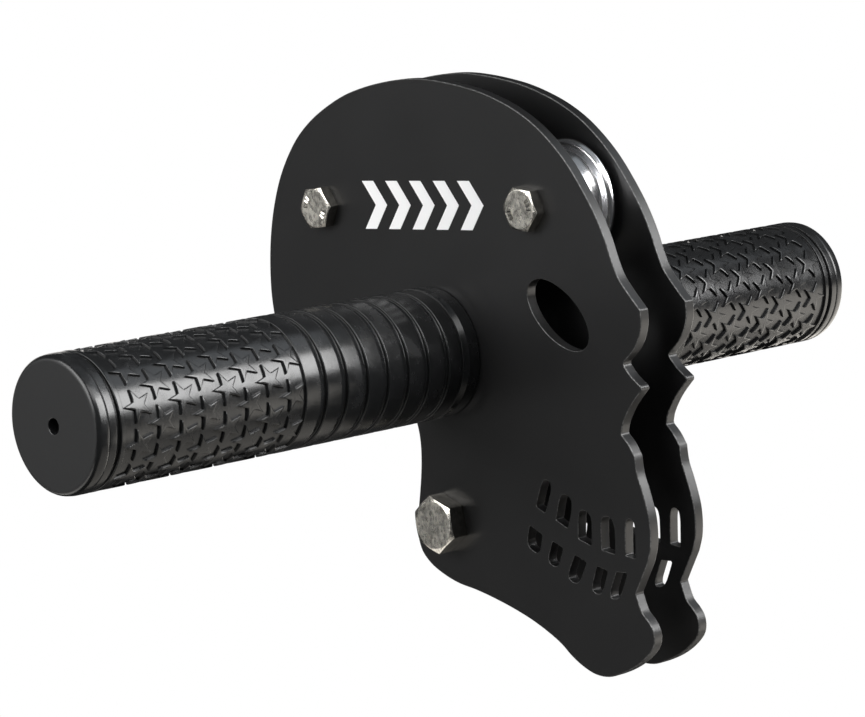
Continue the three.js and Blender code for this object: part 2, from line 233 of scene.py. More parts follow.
# ------------------------------------------------------------------ materials
class Number:
    """A number that varies over a surface. Arithmetic on it adds the Math nodes that work it out."""

    def __init__(self, finish, socket):
        self.finish = finish
        self.socket = socket

    def _math(self, operation, *values):
        inputs = dict(enumerate(values))
        return self.finish.node("Math", settings={"operation": operation}, inputs=inputs)

    def __add__(self, other):
        return self._math("ADD", self, other)

    def __radd__(self, other):
        return self._math("ADD", other, self)

    def __sub__(self, other):
        return self._math("SUBTRACT", self, other)

    def __rsub__(self, other):
        return self._math("SUBTRACT", other, self)

    def __mul__(self, other):
        return self._math("MULTIPLY", self, other)

    def __rmul__(self, other):
        return self._math("MULTIPLY", other, self)

    def __pow__(self, other):
        return self._math("POWER", self, other)

    def __abs__(self):
        return self._math("ABSOLUTE", self)

    def between(self, low, high):
        """0 below low and 1 above high, with a smooth step from one to the other."""
        return self.finish.node(
            "MapRange",
            settings={"interpolation_type": "SMOOTHSTEP"},
            inputs={"Value": self, "From Min": low, "From Max": high},
        )


class Finish:
    """A material, its nodes and the shader that they feed."""

    def __init__(self, name):
        self.material = bpy.data.materials.new(name)
        self.material.use_nodes = True
        self.tree = self.material.node_tree
        self.tree.nodes.clear()

    def node(self, kind, output=0, settings=None, inputs=None):
        """Adds a node: its settings first, then the values or links of its sockets."""
        made = self.tree.nodes.new("ShaderNode" + kind)
        for name, value in (settings or {}).items():
            setattr(made, name, value)
        for name, value in (inputs or {}).items():
            if isinstance(value, Number):
                self.tree.links.new(value.socket, made.inputs[name])
            else:
                made.inputs[name].default_value = value
        return Number(self, made.outputs[output])

    def place(self, stretch=(1, 1, 1), turn=(0, 0, 0)):
        """Where a point is on the object, in metres, with stretch and turn for patterns with a grain."""
        here = self.node("TexCoord", "Object")
        return self.node(
            "Mapping", inputs={"Vector": here, "Scale": stretch, "Rotation": turn}
        )

    def noise(self, size, detail=2, roughness=0.5, place=None):
        """Soft noise from 0 to 1 whose lumps are about that many metres across."""
        return self.node(
            "TexNoise",
            "Fac",
            inputs={
                "Vector": place or self.place(),
                "Scale": 1 / size,
                "Detail": detail,
                "Roughness": roughness,
            },
        )

    def scratches(self, size, turn, width=0.02):
        """Fine scratches in one direction: where stretched noise crosses its middle value."""
        streaks = self.noise(size, 2, 0.6, self.place((1, 1, 9), turn))
        return 1 - abs(streaks - 0.5).between(0, width)

    def facing(self):
        """How squarely the surface faces along Y, from 0 to 1."""
        normal = self.node("NewGeometry", "Normal")
        return abs(self.node("SeparateXYZ", "Y", inputs={"Vector": normal}))

    def mix(self, factor, low, high):
        """A colour between two colours, each of them fixed or a mix itself."""
        low, high = (end if isinstance(end, Number) else (*end, 1) for end in (low, high))
        return self.node(
            "Mix", 2, settings={"data_type": "RGBA"}, inputs={0: factor, 6: low, 7: high}
        )

    def bump(self, height, depth):
        """A surface that rises by depth, in metres, where height is 1."""
        return self.node("Bump", inputs={"Height": height, "Distance": depth, "Strength": 1.0})

    def surface(self, **sockets):
        """Ends the material in a Principled shader with these values or links."""
        names = {name.replace("_", " "): value for name, value in sockets.items()}
        shader = self.node("BsdfPrincipled", inputs=names)
        made = self.tree.nodes.new("ShaderNodeOutputMaterial")
        self.tree.links.new(shader.socket, made.inputs["Surface"])
        return self.material


def scaled(rgb, factor):
    """A colour made darker or lighter."""
    return tuple(channel * factor for channel in rgb)


def powder_coat(settings):
    """Matt coat with a fine grain, thin and rubbed lighter where it goes round an edge; the lighter
    colour there is also a painted highlight standing in for the shine on the rounded edges.
    """
    finish = Finish("powder_coat")
    grain = finish.noise(0.45 * MM, 3, 0.55)
    cloud = finish.noise(24 * MM, 3)
    speckle = finish.noise(0.7 * MM, 3, 0.7).between(0.42, 0.62)
    facing = finish.facing()
    # Mask of the rounded edges, where the coat is painted lighter: partly real wear, partly a painted
    # highlight on the rounding.
    edge_wear_and_highlight = facing.between(0.15, 0.4) * (1 - facing.between(0.85, 0.98))
    plain = finish.mix(
        cloud * 0.7 + grain * 0.3, scaled(settings.coat, 0.8), scaled(settings.coat, 1.35)
    )
    return finish.surface(
        Base_Color=finish.mix(edge_wear_and_highlight * (0.25 + speckle * 0.75), plain, settings.worn_coat_and_edge_highlight),
        Roughness=0.27 + grain * 0.08 + cloud * 0.06,
        Specular_IOR_Level=0.5,
        Normal=finish.bump(grain, 0.014 * MM),
    )


def grip_rubber(settings):
    """Smooth moulded rubber, smeared in places, with a matt end face."""
    finish = Finish("grip_rubber")
    grain = finish.noise(0.35 * MM, 2, 0.6)
    smear = finish.noise(6 * MM, 4, 0.6)
    flow = finish.noise(2.2 * MM, 3, 0.6, finish.place((1, 3, 1)))
    end = finish.facing().between(0.85, 0.98)
    bloom = smear.between(0.42, 0.68) * (1 - end)
    return finish.surface(
        Base_Color=finish.mix(bloom * 0.6, settings.rubber, scaled(settings.rubber, 1.6)),
        Roughness=0.18 + bloom * 0.08 + flow * 0.07 + end * 0.3,
        Specular_IOR_Level=0.5,
        Normal=finish.bump(grain * 0.6 + flow * 0.7, 0.013 * MM),
    )


def seal_rubber(settings):
    """Dusty matt rubber."""
    finish = Finish("seal_rubber")
    grain = finish.noise(0.3 * MM, 2)
    dust = finish.noise(1.5 * MM, 3).between(0.5, 0.8)
    return finish.surface(
        Base_Color=finish.mix(dust * 0.5, settings.rubber, scaled(settings.rubber, 3)),
        Roughness=0.45 + dust * 0.2,
        Normal=finish.bump(grain, 0.01 * MM),
    )


def stainless_steel(settings):
    """Plain stainless steel. The flat faces of heads and nuts are dented and scratched."""
    finish = Finish("stainless_steel")
    flat = finish.facing().between(0.93, 0.99)
    dents = finish.noise(0.9 * MM, 4, 0.62, finish.place((1, 1, 0.7), (0, 0.7, 0)))
    cuts = (
        finish.scratches(0.5 * MM, (0, 0.5, 0))
        + finish.scratches(0.7 * MM, (0, -0.7, 0))
        + finish.scratches(0.6 * MM, (0, 1.9, 0))
    )
    stain = (dents * 0.5 + finish.noise(2.5 * MM, 3) * 0.5).between(0.38, 0.62)
    plain = finish.mix(stain, scaled(settings.stainless, 0.7), scaled(settings.stainless, 1.15))
    worn = finish.mix(stain, scaled(settings.stainless, 0.5), scaled(settings.stainless, 1.25))
    return finish.surface(
        Base_Color=finish.mix(flat, plain, worn),
        Metallic=1.0,
        Roughness=0.2 + flat * (dents * 0.16 + cuts * 0.05),
        Normal=finish.bump((dents - cuts * 0.15) * flat, 0.24 * MM),
    )


def turned_steel(name, tint, axis, roughness, ring):
    """Polished steel with the faint rings that a lathe leaves round the axis."""
    finish = Finish(name)
    away = finish.node(
        "VectorMath",
        settings={"operation": "SUBTRACT"},
        inputs={0: finish.node("TexCoord", "Object"), 1: tuple(axis)},
    )
    x = finish.node("SeparateXYZ", "X", inputs={"Vector": away})
    y = finish.node("SeparateXYZ", "Y", inputs={"Vector": away})
    z = finish.node("SeparateXYZ", "Z", inputs={"Vector": away})
    radius = (x * x + z * z) ** 0.5
    along = finish.node("CombineXYZ", inputs={"X": radius, "Y": y})
    rings = finish.noise(ring, 3, 0.7, along)
    film = finish.noise(3 * MM, 3)
    return finish.surface(
        Base_Color=finish.mix(film, scaled(tint, 0.92), tint),
        Metallic=1.0,
        Roughness=roughness + rings * 0.05 + film * 0.05,
        Normal=finish.bump(rings, 0.002 * MM),
    )


def zinc_plate(settings):
    """Dull zinc plating with a faint spangle."""
    finish = Finish("zinc_plate")
    spangle = finish.noise(1.6 * MM, 4, 0.6)
    haze = finish.noise(9 * MM, 2)
    return finish.surface(
        Base_Color=finish.mix(haze, scaled(settings.zinc, 0.8), scaled(settings.zinc, 1.1)),
        Metallic=1.0,
        Roughness=0.3 + spangle * 0.22,
        Normal=finish.bump(spangle, 0.006 * MM),
    )


def moulded_nylon(settings):
    """Off-white nylon, slightly cloudy."""
    finish = Finish("moulded_nylon")
    cloud = finish.noise(2 * MM, 3)
    grain = finish.noise(0.2 * MM, 2)
    return finish.surface(
        Base_Color=finish.mix(cloud, scaled(settings.nylon, 0.9), settings.nylon),
        Roughness=0.4 + grain * 0.15,
        Normal=finish.bump(grain, 0.004 * MM),
    )


def printed_ink(settings):
    """White ink that takes the grain of the coat under it and is thin in spots."""
    finish = Finish("printed_ink")
    grain = finish.noise(0.45 * MM, 3, 0.55)
    thin = finish.noise(0.9 * MM, 3).between(0.62, 0.8)
    return finish.surface(
        Base_Color=finish.mix(thin * 0.15, settings.ink, scaled(settings.ink, 0.6)),
        Roughness=0.45 + grain * 0.15,
        Normal=finish.bump(grain, 0.008 * MM),
    )


def material(name):
    """The named material, made on its first use."""
    found = bpy.data.materials.get(name)
    if found:
        return found
    settings = bpy.context.scene.trolley_finish
    makers = {
        "powder_coat": powder_coat,
        "grip_rubber": grip_rubber,
        "seal_rubber": seal_rubber,
        "stainless_steel": stainless_steel,
        "zinc_plate": zinc_plate,
        "moulded_nylon": moulded_nylon,
        "printed_ink": printed_ink,
    }
    if name in makers:
        return makers[name](settings)
    kind, wheel = name.split("_")
    axis = axis_of(wheel + "_sheave")
    if kind == "chrome":
        return turned_steel(name, settings.chrome, axis, 0.18, 0.25 * MM)
    return turned_steel(name, settings.stainless, axis, 0.2, 0.15 * MM)


# ------------------------------------------------------------------ mesh tools
def mesh_object(name, bm, material_name):
    """Turns a bmesh into an object of the scene, with its faces pointing out and smooth shading."""
    bmesh.ops.recalc_face_normals(bm, faces=bm.faces)
    mesh = bpy.data.meshes.new(name)
    bm.to_mesh(mesh)
    bm.free()
    mesh.shade_smooth()
    mesh.materials.append(material(material_name))
    piece = bpy.data.objects.new(name, mesh)
    bpy.context.scene.collection.objects.link(piece)
    return piece


def crisp(piece, degrees=38):
    """Keeps edges sharper than that many degrees, and lets flats stay flat beside small roundings."""
    piece.data.set_sharp_from_angle(angle=math.radians(degrees))
    weighted = piece.modifiers.new("weighted_normals", "WEIGHTED_NORMAL")
    weighted.mode = "FACE_AREA"
    weighted.keep_sharp = True
    return piece


def stand_for(piece, body, slot_name, *nodes):
    """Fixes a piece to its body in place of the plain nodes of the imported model."""
    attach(piece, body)
    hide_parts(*nodes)


def arc_points(before, corner, after, radius, steps):
    """Points of the circular arc that rounds the corner between two lines of a flat outline."""
    towards = (before - corner).normalized()
    onwards = (after - corner).normalized()
    turn = math.pi - towards.angle(onwards, math.pi)
    if radius <= 0 or turn < 1e-3:
        return [corner]
    cut = radius * math.tan(turn / 2)
    weight = math.cos(turn / 2)
    start = corner + towards * cut
    end = corner + onwards * cut
    points = []
    for i in range(steps + 1):
        t = i / steps
        a, b, c = (1 - t) ** 2, 2 * weight * t * (1 - t), t ** 2
        points.append((start * a + corner * b + end * c) / (a + b + c))
    return points


def rounded(corners, closed=True, steps=4):
    """A turned profile with its corners rounded. A corner is (radius, y) or (radius, y, rounding)."""
    points = [Vector(corner[:2]) for corner in corners]
    count = len(points)
    profile = []
    for i, corner in enumerate(corners):
        inside = closed or 0 < i < count - 1
        rounding = corner[2] if len(corner) > 2 and inside else 0
        profile += arc_points(points[i - 1], points[i], points[(i + 1) % count], rounding, steps)
    return [tuple(point) for point in profile]


def bridge(bm, ring, following):
    """Faces between two rings of vertices. A ring of one vertex is a point on the axis."""
    count = max(len(ring), len(following))
    for i in range(count):
        j = (i + 1) % count
        if len(ring) == 1:
            bm.faces.new((ring[0], following[j], following[i]))
        elif len(following) == 1:
            bm.faces.new((ring[i], ring[j], following[0]))
        else:
            bm.faces.new((ring[i], ring[j], following[j], following[i]))


def add_rings(bm, rings, axis, sides, closed, phase=0.0):
    """Rings round the axis along Y. A ring is a (radius, y) pair or a function of the angle that
    gives one. A closed set of rings joins its last ring to its first."""
    made = []
    for ring in rings:
        if not callable(ring) and ring[0] == 0:
            made.append([bm.verts.new((axis.x, ring[1], axis.z))])
            continue
        verts = []
        for i in range(sides):
            turn = phase + 2 * math.pi * i / sides
            radius, y = ring(turn) if callable(ring) else ring
            verts.append(
                bm.verts.new((axis.x + radius * math.cos(turn), y, axis.z + radius * math.sin(turn)))
            )
        made.append(verts)
    for ring, following in zip(made, made[1:]):
        bridge(bm, ring, following)
    if closed:
        bridge(bm, made[-1], made[0])


def turned(name, profile, axis, material_name, sides=96, closed=True):
    """A piece turned round the axis along Y."""
    bm = bmesh.new()
    add_rings(bm, profile, axis, sides, closed)
    return crisp(mesh_object(name, bm, material_name))


def turned_ring(name, node, bore, material_name, rounding=0.25 * MM):
    """A plain ring with rounded edges, with the outer size of its node."""
    low, high = span(node)
    outer = radius_of(node)
    section = [(bore, low), (outer, low), (outer, high), (bore, high)]
    corners = [(radius, y, rounding) for radius, y in section]
    return turned(name, rounded(corners), axis_of(node), material_name)


# ------------------------------------------------------------------ side plates
CORNER_TURN = math.radians(38)
BITE_TURN = math.radians(150)


def face_outlines(node, y):
    """The closed outlines of a node's flat face at y, as lists of (x, z) vectors."""
    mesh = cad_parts[node].data
    sides = set()
    for polygon in mesh.polygons:
        corners = [mesh.vertices[i].co for i in polygon.vertices]
        if all(abs(corner.y - y) < 0.01 * MM for corner in corners):
            flat = [(round(corner.x, 5), round(corner.z, 5)) for corner in corners]
            sides.update(zip(flat, flat[1:] + flat[:1]))
    following = {start: end for start, end in sorted(sides) if (end, start) not in sides}
    outlines = []
    while following:
        point = next(iter(following))
        outline = []
        while point in following:
            outline.append(Vector(point))
            point = following.pop(point)
        outlines.append(outline)
    return outlines


def turn_at(outline, i):
    """How far an outline turns at a point, without its sign."""
    before, here, after = outline[i - 1], outline[i], outline[(i + 1) % len(outline)]
    return (here - before).angle(after - here)


def corners_of(outline):
    """Which points of an outline are corners. A tooth's corners are the two ends of its biting edge."""
    turns = [turn_at(outline, i) for i in range(len(outline))]
    pairs = [turns[i] + turns[(i + 1) % len(turns)] for i in range(len(turns))]
    bite = max(range(len(pairs)), key=lambda i: pairs[i])
    if pairs[bite] > BITE_TURN and len(outline) < 20:
        return sorted({bite, (bite + 1) % len(outline)})
    return [i for i, turn in enumerate(turns) if turn > CORNER_TURN]


def curve_through(points, steps):
    """Points on a smooth curve through four points, from the second up to but without the third."""
    knots = [0.0]
    for here, there in zip(points, points[1:]):
        knots.append(knots[-1] + max((there - here).length, 1e-7) ** 0.5)

    def blend(here, there, low, high, at):
        return here.lerp(there, (at - knots[low]) / (knots[high] - knots[low]))

    made = []
    for i in range(steps):
        at = knots[1] + (knots[2] - knots[1]) * i / steps
        lines = [blend(points[j], points[j + 1], j, j + 1, at) for j in range(3)]
        bends = [blend(lines[j], lines[j + 1], j, j + 2, at) for j in range(2)]
        made.append(blend(*bends, 1, 2, at))
    return made


def perimeter(outline):
    """The length of a closed outline."""
    return sum((point - outline[i - 1]).length for i, point in enumerate(outline))


def smooth_outline(outline, corner_radius):
    """The outline as smooth curves that meet in small rounded corners."""
    count = len(outline)
    corners = corners_of(outline)
    step = min(max(perimeter(outline) / 60, 0.45 * MM), 1.0 * MM)
    fine = []
    rounded_at = set()
    for i in range(count):
        start, end = outline[i], outline[(i + 1) % count]
        before = outline[i - 1] if i not in corners else start + (start - end)
        after = outline[(i + 2) % count] if (i + 1) % count not in corners else end + (end - start)
        if i in corners:
            rounded_at.add(len(fine))
        steps = max(1, round((end - start).length / step))
        fine += curve_through((before, start, end, after), steps)
    made = []
    for i, point in enumerate(fine):
        if i in rounded_at:
            made += arc_points(fine[i - 1], point, fine[(i + 1) % len(fine)], corner_radius, 4)
        else:
            made.append(point)
    return made


def side_plate(side, settings):
    """A plate cut to the outlines of its node, with its edges rounded by the coat."""
    node = side + "_side_plate"
    low, high = span(node)
    quarter = [math.radians(a) for a in (0, 22.5, 45, 67.5, 90)]
    bm = bmesh.new()
    normals = []
    caps = ([], [])
    outlines = sorted(face_outlines(node, low), key=perimeter, reverse=True)
    for outline in outlines:
        outer = outline is outlines[0]
        edge = settings.edge if outer else settings.hole_edge
        layers = [
            (edge * (1 - math.sin(a)), low + edge * (1 - math.cos(a)), -math.cos(a)) for a in quarter
        ]
        layers += [(inset, low + high - y, -lean) for inset, y, lean in reversed(layers)]
        outline = smooth_outline(outline, settings.corner if outer else settings.hole_corner)
        count = len(outline)
        outward = []
        for i in range(count):
            along = (outline[(i + 1) % count] - outline[i - 1]).normalized()
            outward.append(Vector((along.y, -along.x)))
        rings = []
        for inset, y, lean in layers:
            flat = math.sqrt(max(0.0, 1 - lean * lean))
            ring = []
            for point, out in zip(outline, outward):
                at = point - out * inset
                ring.append(bm.verts.new((at.x, y, at.y)))
                normals.append((out.x * flat, lean, out.y * flat))
            rings.append(ring)
        for ring, following in zip(rings, rings[1:]):
            bridge(bm, ring, following)
        for cap, ring in zip(caps, (rings[0], rings[-1])):
            cap += [bm.edges.get((ring[i - 1], ring[i])) for i in range(count)]
    for cap in caps:
        bmesh.ops.triangle_fill(bm, use_beauty=True, use_dissolve=False, edges=cap)
    piece = mesh_object(node.replace("_side_plate", "_skull_plate"), bm, "powder_coat")
    piece.data.normals_split_custom_set_from_vertices(normals)
    stand_for(piece, "frame", "paint", node)


# ------------------------------------------------------------------ grips
def grip_profile(settings, node):
    """The grip's profile from its plate to its closed end, as (radius, distance from the plate)."""
    radius = radius_of(node)
    low, high = (abs(y) for y in span(node))
    reach = abs(high - low)
    bore = radius_of("handlebar_tube") + 0.2 * MM
    closed_from = reach - 5 * MM
    band = radius - settings.star_drop
    slope_end = settings.flange + settings.flange_slope
    corners = [
        (bore, 0, 0.2 * MM),
        (radius, 0, 0.5 * MM),
        (radius, settings.flange, 0.35 * MM),
        (radius - settings.rib_drop, slope_end, 0.6 * MM),
    ]
    for i in range(settings.ribs):
        wall = settings.first_wall + i * settings.rib_pitch
        last = i == settings.ribs - 1
        foot = band if last else radius - settings.rib_drop
        corners += [
            (radius, wall - settings.rib_crown, 0.7 * MM),
            (radius, wall, 0.28 * MM),
            (foot, wall, 0.12 * MM if last else 0.3 * MM),
        ]
    groove_low = reach - settings.groove - settings.groove_width / 2
    groove_high = groove_low + settings.groove_width
    groove_floor = radius - settings.groove_depth
    parting = reach - 3.4 * MM
    corners += [
        (band, reach - settings.star_band, 0.12 * MM),
        (radius, reach - settings.star_band, 0.2 * MM),
        (radius, groove_low, 0.3 * MM),
        (groove_floor, groove_low, 0.25 * MM),
        (groove_floor, groove_high, 0.25 * MM),
        (radius, groove_high, 0.3 * MM),
        (radius, parting - 0.15 * MM),
        (radius - 0.12 * MM, parting),
        (radius, parting + 0.15 * MM),
        (radius, reach - settings.end_slope, 5 * MM),
        (radius - settings.end_inset, reach, settings.end_rounding),
        (settings.vent, reach, 0.3 * MM),
        (settings.vent, closed_from),
        (bore, closed_from),
    ]
    return rounded(corners, steps=6)


def star_outline(tip, steps=3):
    """A five-pointed star round (0, 0), with a tip along the first axis and each edge in steps."""
    waist = tip * math.sin(math.radians(18)) / math.sin(math.radians(54))
    corners = []
    for i in range(10):
        turn = math.radians(36 * i)
        reach = waist if i % 2 else tip
        corners.append(Vector((reach * math.cos(turn), reach * math.sin(turn))))
    outline = []
    for i, corner in enumerate(corners):
        for step in range(steps):
            outline.append(corner.lerp(corners[(i + 1) % 10], step / steps))
    return outline


def add_star(bm, settings, radius, along, turn, lay):
    """One raised star pad as a closed block, bent to the grip's round."""
    outline = star_outline(settings.star)
    apothem = settings.star * math.cos(math.radians(72))
    soft = 0.14 * MM
    foot = settings.star_drop + 0.15 * MM
    layers = [
        (0.3, 0),
        (0.65, 0),
        (1 - soft / apothem, 0),
        (1 - 0.3 * soft / apothem, 0.3 * soft),
        (1, soft),
        (1 + 0.06 * MM / apothem, foot),
    ]

    def vert(point, drop):
        return bm.verts.new(lay(radius - drop, along + point.x, turn + point.y / radius))

    rings = [[vert(Vector((0, 0)), 0)]]
    rings += [[vert(point * scale, drop) for point in outline] for scale, drop in layers]
    rings.append([vert(Vector((0, 0)), foot)])
    for ring, following in zip(rings, rings[1:]):
        bridge(bm, ring, following)


def grip(side, settings):
    """One grip: the turned and ribbed body with its rows of stars."""
    node = side + "_grip"
    sign = SIDES[side]
    axis = axis_of(node)
    plate_side = min(span(node), key=abs)
    reach = span(node)[1] - span(node)[0]
    radius = radius_of(node)

    def lay(distance, along, turn):
        """A place on the grip from its radius, its distance from the plate and its angle."""
        return (
            axis.x + distance * math.cos(turn),
            plate_side + sign * along,
            axis.z + distance * math.sin(turn),
        )

    bm = bmesh.new()
    profile = [(r, plate_side + sign * along) for r, along in grip_profile(settings, node)]
    add_rings(bm, profile, axis, 144, closed=True)
    first = settings.right_turn if side == "right" else settings.left_turn
    row_turn = 2 * math.pi / settings.star_rows
    for row in range(settings.star_rows):
        back = settings.star_margin + (row % 2) * settings.star_pitch / 2
        for star in range(settings.stars):
            along = reach - back - star * settings.star_pitch
            add_star(bm, settings, radius, along, first + row * row_turn, lay)
    piece = mesh_object(side + "_rubber_grip", bm, "grip_rubber")
    crisp(piece, 50)
    stand_for(piece, "frame", "rubber", node)


# ------------------------------------------------------------------ fasteners
HEX_SIDES = 72
CONE = math.tan(math.radians(20))  # fall of the cone that cuts a hexagon's corners
# The ridges on a bolt head: the angle between them, their height, and the rest as shares of the
# width across the flats.
RIDGE_SPREAD = 17
RIDGE_HEIGHT = 0.26 * MM
RIDGE_PLACE, RIDGE_LENGTH, RIDGE_WIDTH = 0.33, 0.13, 0.065


def flats_radius(across_flats, corner, turn):
    """The radius of a hexagon at an angle, with its corners just broken."""
    sixth = math.pi / 3
    off = (turn - corner) % sixth - sixth / 2
    return min(across_flats / 2 / math.cos(off), across_flats / math.sqrt(3) * 0.995)


def hexagon_rings(across_flats, corner, base, face, chamfer_base):
    """Rings up a hexagon from base to face, where a flat cone cuts its corners. The cone cuts
    the base too if chamfer_base says so."""
    up = 1 if face > base else -1
    face_radius = across_flats * 0.455
    soft = 0.1 * MM

    def fall(radius):
        return max(0.0, radius - face_radius) * CONE

    def rim(inset, sink, level, way, coned):
        def ring(turn):
            radius = flats_radius(across_flats, corner, turn) - inset
            return radius, level - way * (sink + (fall(radius) if coned else 0))
        return ring

    return [
        (face_radius * 0.9, base),
        (face_radius, base),
        rim(0.08 * MM, 0, base, -up, chamfer_base),
        rim(0, 0.1 * MM, base, -up, chamfer_base),
        rim(0, 0.1 * MM, face, up, True),
        rim(0.07 * MM, 0.015 * MM, face, up, True),
        (face_radius + soft, face - up * soft * CONE),
        (face_radius, face - up * soft * CONE * 0.3),
        (face_radius - soft, face),
        (face_radius * 0.9, face),
    ]


def add_ridges(bm, axis, face, across_flats, corner):
    """Two groups of three short raised ridges on a bolt head's face."""
    for group in (0, 180):
        for step in (-RIDGE_SPREAD, 0, RIDGE_SPREAD):
            turn = corner + math.radians(group + 30 + step)
            middle = Vector((math.cos(turn), 0, math.sin(turn))) * across_flats * RIDGE_PLACE + axis
            middle.y = face
            long, wide = across_flats * RIDGE_LENGTH, across_flats * RIDGE_WIDTH
            spread = Matrix.Diagonal((long, RIDGE_HEIGHT, wide, 1))
            on_edge = Matrix.Rotation(math.radians(45), 4, "X")
            place = Matrix.Translation(middle) @ Matrix.Rotation(-turn, 4, "Y") @ spread @ on_edge
            bmesh.ops.create_cube(bm, size=1, matrix=place)


def bolt(name, node, shank, across_flats, pitch, threaded):
    """A hexagon-head bolt: its head towards -Y, a plain shank and a rolled thread up to the tip."""
    axis = axis_of(node)
    corner = corner_angle(node)
    head_face, tip = span(node)
    under = span("right_side_plate")[0]
    depth = 0.61 * pitch
    tip_cone = 0.8 * MM

    def thread(y):
        def ring(turn):
            phase = (y / pitch - turn / (2 * math.pi)) % 1
            crest = max(0.0, min(1.0, (abs(phase - 0.5) * 2 - 0.12) / 0.76))
            run_in = min(1.0, max(0.0, (y - (tip - threaded)) / pitch))
            radius = shank - depth * crest * run_in
            return min(radius, shank - tip_cone + max(0.0, tip - y)), y
        return ring

    steps = int(threaded / pitch * 8)
    rings = [(0, tip), (shank * 0.4, tip)]
    rings += [thread(tip - threaded * i / steps) for i in range(steps + 1)]
    rings += [(shank, under + 0.4 * MM), (shank, under)]
    rings += hexagon_rings(across_flats, corner, under, head_face, False)
    rings += [(across_flats * share_of, head_face) for share_of in (0.3, 0.15)]
    rings += [(0, head_face)]
    bm = bmesh.new()
    add_rings(bm, rings, axis, HEX_SIDES, closed=False, phase=corner)
    add_ridges(bm, axis, head_face, across_flats, corner)
    piece = crisp(mesh_object(name, bm, "stainless_steel"), 34)
    stand_for(piece, "frame", "stainless", node)


def lock_nut(name, node, insert, shank, across_flats):
    """A hexagon nut with the round collar that holds its nylon ring."""
    axis = axis_of(node)
    low, high = span(node)
    insert_low, insert_high = span(insert)
    collar = across_flats * 0.46
    mouth = across_flats * 0.37
    pocket = radius_of(insert) + 0.05 * MM
    bore = shank + 0.06 * MM
    hexagon_top = insert_low
    rings = [(bore, low + 0.5 * MM), (bore + 0.5 * MM, low)]
    rings += hexagon_rings(across_flats, corner_angle(node), low, hexagon_top, True)[1:-2]
    outside = [
        (collar + 0.3 * MM, hexagon_top),
        (collar, hexagon_top, 0.25 * MM),
        (collar, high, 0.7 * MM),
        (mouth, high, 0.2 * MM),
        (mouth, insert_high + 0.05 * MM),
        (pocket, insert_high + 0.05 * MM),
        (pocket, hexagon_top - 0.05 * MM),
        (bore, hexagon_top - 0.05 * MM),
    ]
    rings += rounded(outside, closed=False)[1:]
    bm = bmesh.new()
    add_rings(bm, rings, axis, HEX_SIDES, closed=True, phase=corner_angle(node))
    piece = crisp(mesh_object(name, bm, "stainless_steel"), 34)
    stand_for(piece, "frame", "stainless", node)
    ring = turned_ring(name + "_ring", insert, shank + 0.06 * MM, "moulded_nylon", 0.2 * MM)
    stand_for(ring, "frame", "nylon", insert)


def washer(name, node, bore):
    piece = turned_ring(name, node, bore, "stainless_steel", 0.22 * MM)
    stand_for(piece, "frame", "stainless", node)


# ------------------------------------------------------------------ wheels
def sheave_profile(settings, outer, half, bore):
    """A cable sheave: a round-floored groove, a crowned rim and a shallow recess in each face."""
    floor, throat, throat_radius = settings.groove_floor, settings.groove_half, settings.groove_throat
    rise = throat_radius - floor
    arc = (throat ** 2 + rise ** 2) / (2 * rise)
    sweep = math.asin(throat / arc)
    shares = [i / 6 for i in range(-6, 7)]
    groove = [(floor + arc * (1 - math.cos(sweep * s)), arc * math.sin(sweep * s)) for s in shares]
    hub = bore + 1.2 * MM
    rim = outer - 2.2 * MM

    def face(way):
        """From the bore out to the rim on one side, with the recess between hub and rim."""
        level = way * half
        sunk = level - way * settings.recess
        return [
            (bore, level, 0.3 * MM),
            (hub, level, 0.2 * MM),
            (hub + 0.4 * MM, sunk, 0.3 * MM),
            (rim - 0.4 * MM, sunk, 0.3 * MM),
            (rim, level, 0.25 * MM),
            (outer, level, 0.3 * MM),
            (outer, way * throat, settings.rim),
        ]

    corners = face(-1) + groove + face(1)[::-1]
    return rounded(corners)


def bearing_track(settings, land, way):
    """The groove that the balls run in, cut into a race's land. way is 1 on the outer race."""
    reach = settings.ball + 0.14 * MM
    edge = math.acos(abs(land - settings.ball_pitch) / reach)
    shares = [i / 6 for i in range(-6, 7)]
    return [
        (settings.ball_pitch + way * reach * math.cos(edge * s), reach * math.sin(edge * s))
        for s in shares
    ]


def bearing_race(wheel, place, settings):
    """An outer or inner race, with the track of the balls and the seats of the seals."""
    node = f"{wheel}_bearing_{place}_race"
    low, high = span(node)
    step = settings.seal_low - 0.1 * MM
    if place == "outer":
        back, land, seat, way = radius_of(node), settings.outer_land, settings.outer_seat, 1
        body = wheel + "_wheel"
    else:
        back, land, seat, way = settings.race_bore, settings.inner_land, settings.inner_seat, -1
        body = "frame"
    corners = [(back, low, 0.3 * MM), (seat, low, 0.1 * MM), (seat, -step), (land, -step)]
    corners += bearing_track(settings, land, way)
    corners += [(land, step), (seat, step), (seat, high, 0.1 * MM), (back, high, 0.3 * MM)]
    axis = axis_of(wheel + "_sheave")
    piece = turned(f"{wheel}_{place}_race", rounded(corners), axis, "steel_" + wheel)
    stand_for(piece, body, "bearing", node)


def bearing_seal(wheel, side, settings):
    """A rubber seal with its dished ring."""
    node = f"{wheel}_bearing_{side}_seal"
    low, high = sorted(span(node), key=abs)
    outer = radius_of(node)
    inner = settings.seal_bore
    dish = (high - low) * 0.35
    corners = [
        (inner, low),
        (outer, low),
        (outer, high, 0.08 * MM),
        (outer - 0.7 * MM, high, 0.1 * MM),
        (outer - 0.8 * MM, high - dish, 0.1 * MM),
        (inner + 0.7 * MM, high - dish, 0.1 * MM),
        (inner + 0.5 * MM, high, 0.1 * MM),
        (inner, high, 0.1 * MM),
    ]
    axis = axis_of(wheel + "_sheave")
    piece = turned(f"{wheel}_{side}_dust_seal", rounded(corners), axis, "seal_rubber")
    stand_for(piece, wheel + "_wheel", "seal", node)


